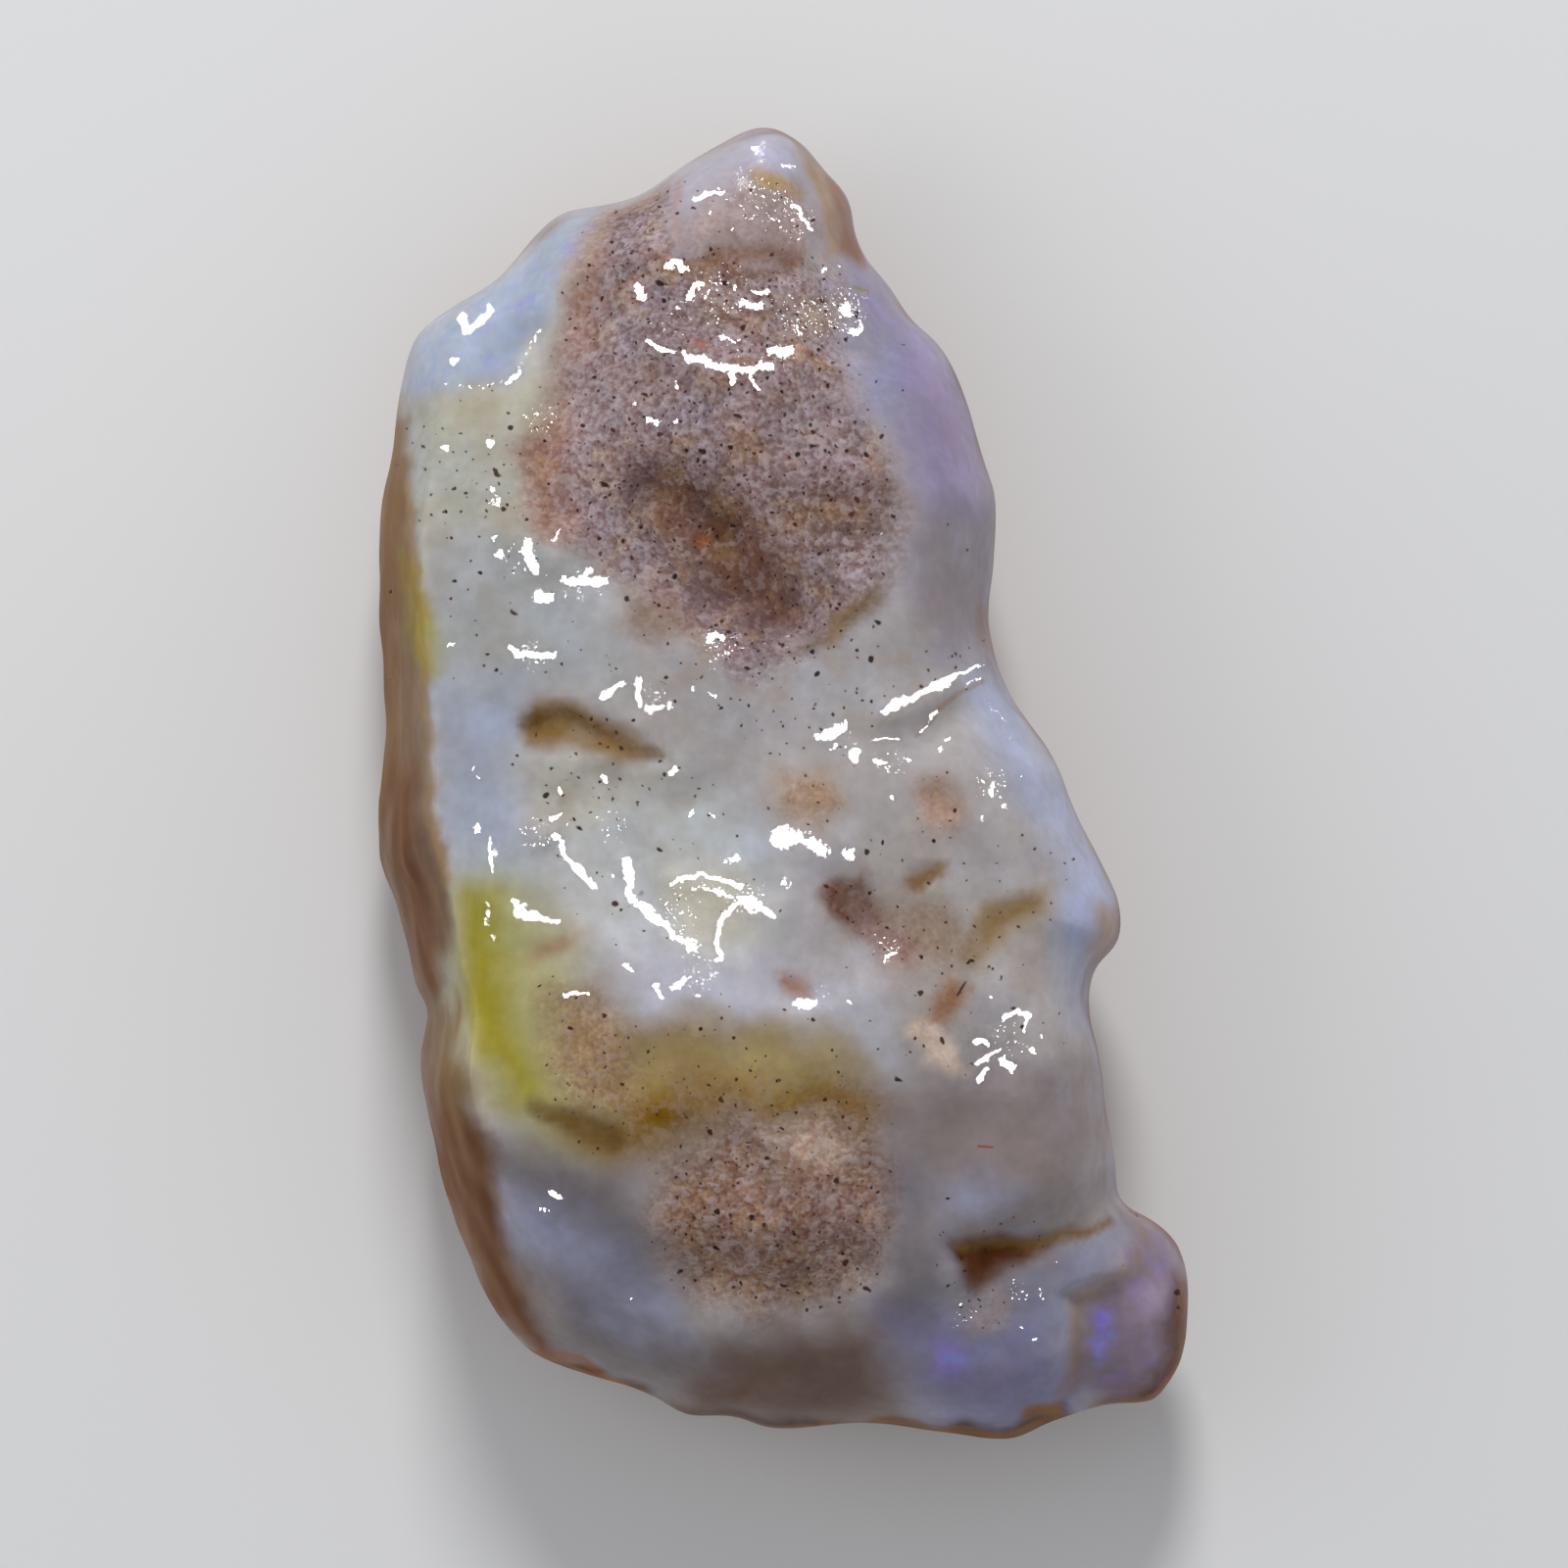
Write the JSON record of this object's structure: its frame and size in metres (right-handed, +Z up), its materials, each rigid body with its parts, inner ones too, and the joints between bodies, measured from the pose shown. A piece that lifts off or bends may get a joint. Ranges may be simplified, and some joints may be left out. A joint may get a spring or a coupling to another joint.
{
  "type": "rough opal",
  "caption": "Rough, uncut opal lying on its back: one tapered, pitted stone with a sandy hollow, a brown flank and a lower corner lobe.",
  "frame": {"origin": "middle of the stone's footprint, on the surface it lies on", "axes": "+Y along the stone's length to its narrow tip, +X across it to the side with the corner lobe, +Z up, out of its pitted face"},
  "size_m": [0.0154, 0.025, 0.0091],
  "materials": {
    "opal": "milky white to lavender opal with a wet gloss, brown to ochre sandy patches and a tan skin"
  },
  "bodies": {
    "root": {"opal": "opal"}
  },
  "joints": []
}
